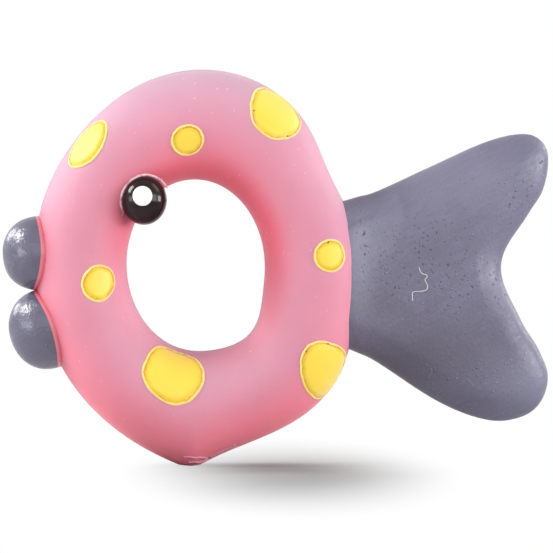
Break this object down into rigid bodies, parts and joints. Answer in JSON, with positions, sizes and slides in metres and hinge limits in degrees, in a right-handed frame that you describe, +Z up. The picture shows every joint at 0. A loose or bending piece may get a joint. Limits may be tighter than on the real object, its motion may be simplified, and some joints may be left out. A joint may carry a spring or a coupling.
{
  "type": "squeaky fish dog toy",
  "caption": "Hollow latex ring-shaped fish toy with a grip hole, thick lips, bead eyes, raised spots, a two-lobed tail and a squeaker insert that sounds when squeezed.",
  "frame": {"origin": "on the ground under the middle of the toy's length, on its mid-plane; the trimmed belly tip stands at height 0", "axes": "+X from the lips towards the tail, -Y out of the front face, +Z up towards the crown"},
  "size_m": [0.1605, 0.0364, 0.1164],
  "materials": {
    "pink_latex": "satin moulded latex with fine bubbles",
    "grey_latex": "satin moulded latex with pits",
    "yellow_latex": "poured yellow latex, satin",
    "black_gloss": "gloss black latex",
    "white_paint": "white latex paint",
    "ivory_plastic": "moulded ivory plastic",
    "reed_film": "clear plastic film"
  },
  "bodies": {
    "midline": {"outer_seam": "pink_latex", "hole_seam": "pink_latex", "upper_lip": "grey_latex", "lower_lip": "grey_latex"},
    "front": {"front_skin": "pink_latex", "front_eye": "black_gloss", "front_eye_dot": "white_paint", "front_spot_brow": "yellow_latex", "front_spot_crown": "yellow_latex", "front_spot_shoulder": "yellow_latex", "front_spot_cheek": "yellow_latex", "front_spot_flank": "yellow_latex", "front_spot_belly": "yellow_latex", "front_spot_vent": "yellow_latex"},
    "back": {"back_skin": "pink_latex", "back_eye": "black_gloss", "back_eye_dot": "white_paint", "back_spot_brow": "yellow_latex", "back_spot_crown": "yellow_latex", "back_spot_shoulder": "yellow_latex", "back_spot_cheek": "yellow_latex", "back_spot_flank": "yellow_latex", "back_spot_belly": "yellow_latex", "back_spot_vent": "yellow_latex", "squeaker_plug": "ivory_plastic", "squeaker_grille": "ivory_plastic", "tone_board": "ivory_plastic", "reed_wedge": "ivory_plastic"},
    "tail": {"tail_skin": "grey_latex"},
    "reed": {"reed": "reed_film"}
  },
  "joints": [
    {"name": "squeeze_back", "type": "slide", "parent": "midline", "child": "back", "axis": [0, -1, 0], "range_m": [0, 0.004], "stiffness_N_per_m": 1200, "deforming": ["back_skin", "back_spot_brow", "back_spot_shoulder", "back_spot_vent"]},
    {"name": "squeeze_front", "type": "slide", "parent": "midline", "child": "front", "axis": [0, 1, 0], "range_m": [0, 0.004], "stiffness_N_per_m": 1200, "deforming": ["front_skin", "front_spot_brow", "front_spot_shoulder", "front_spot_vent"]},
    {"name": "tail_bend", "type": "hinge", "parent": "midline", "child": "tail", "pos_m": [0.02627, 0, 0.05901], "axis": [0, 0, 1], "range_deg": [-15, 15], "stiffness_Nm_per_rad": 0.3, "deforming": ["tail_skin"]},
    {"name": "reed_flex", "type": "hinge", "parent": "back", "child": "reed", "pos_m": [-0.00999, 0.012, 0.02124], "axis": [1, 0, 0], "range_deg": [-4, 2], "stiffness_Nm_per_rad": 0.00005}
  ],
  "couplings": [
    {"joint": "squeeze_front", "follows": "squeeze_back", "ratio": 1}
  ]
}
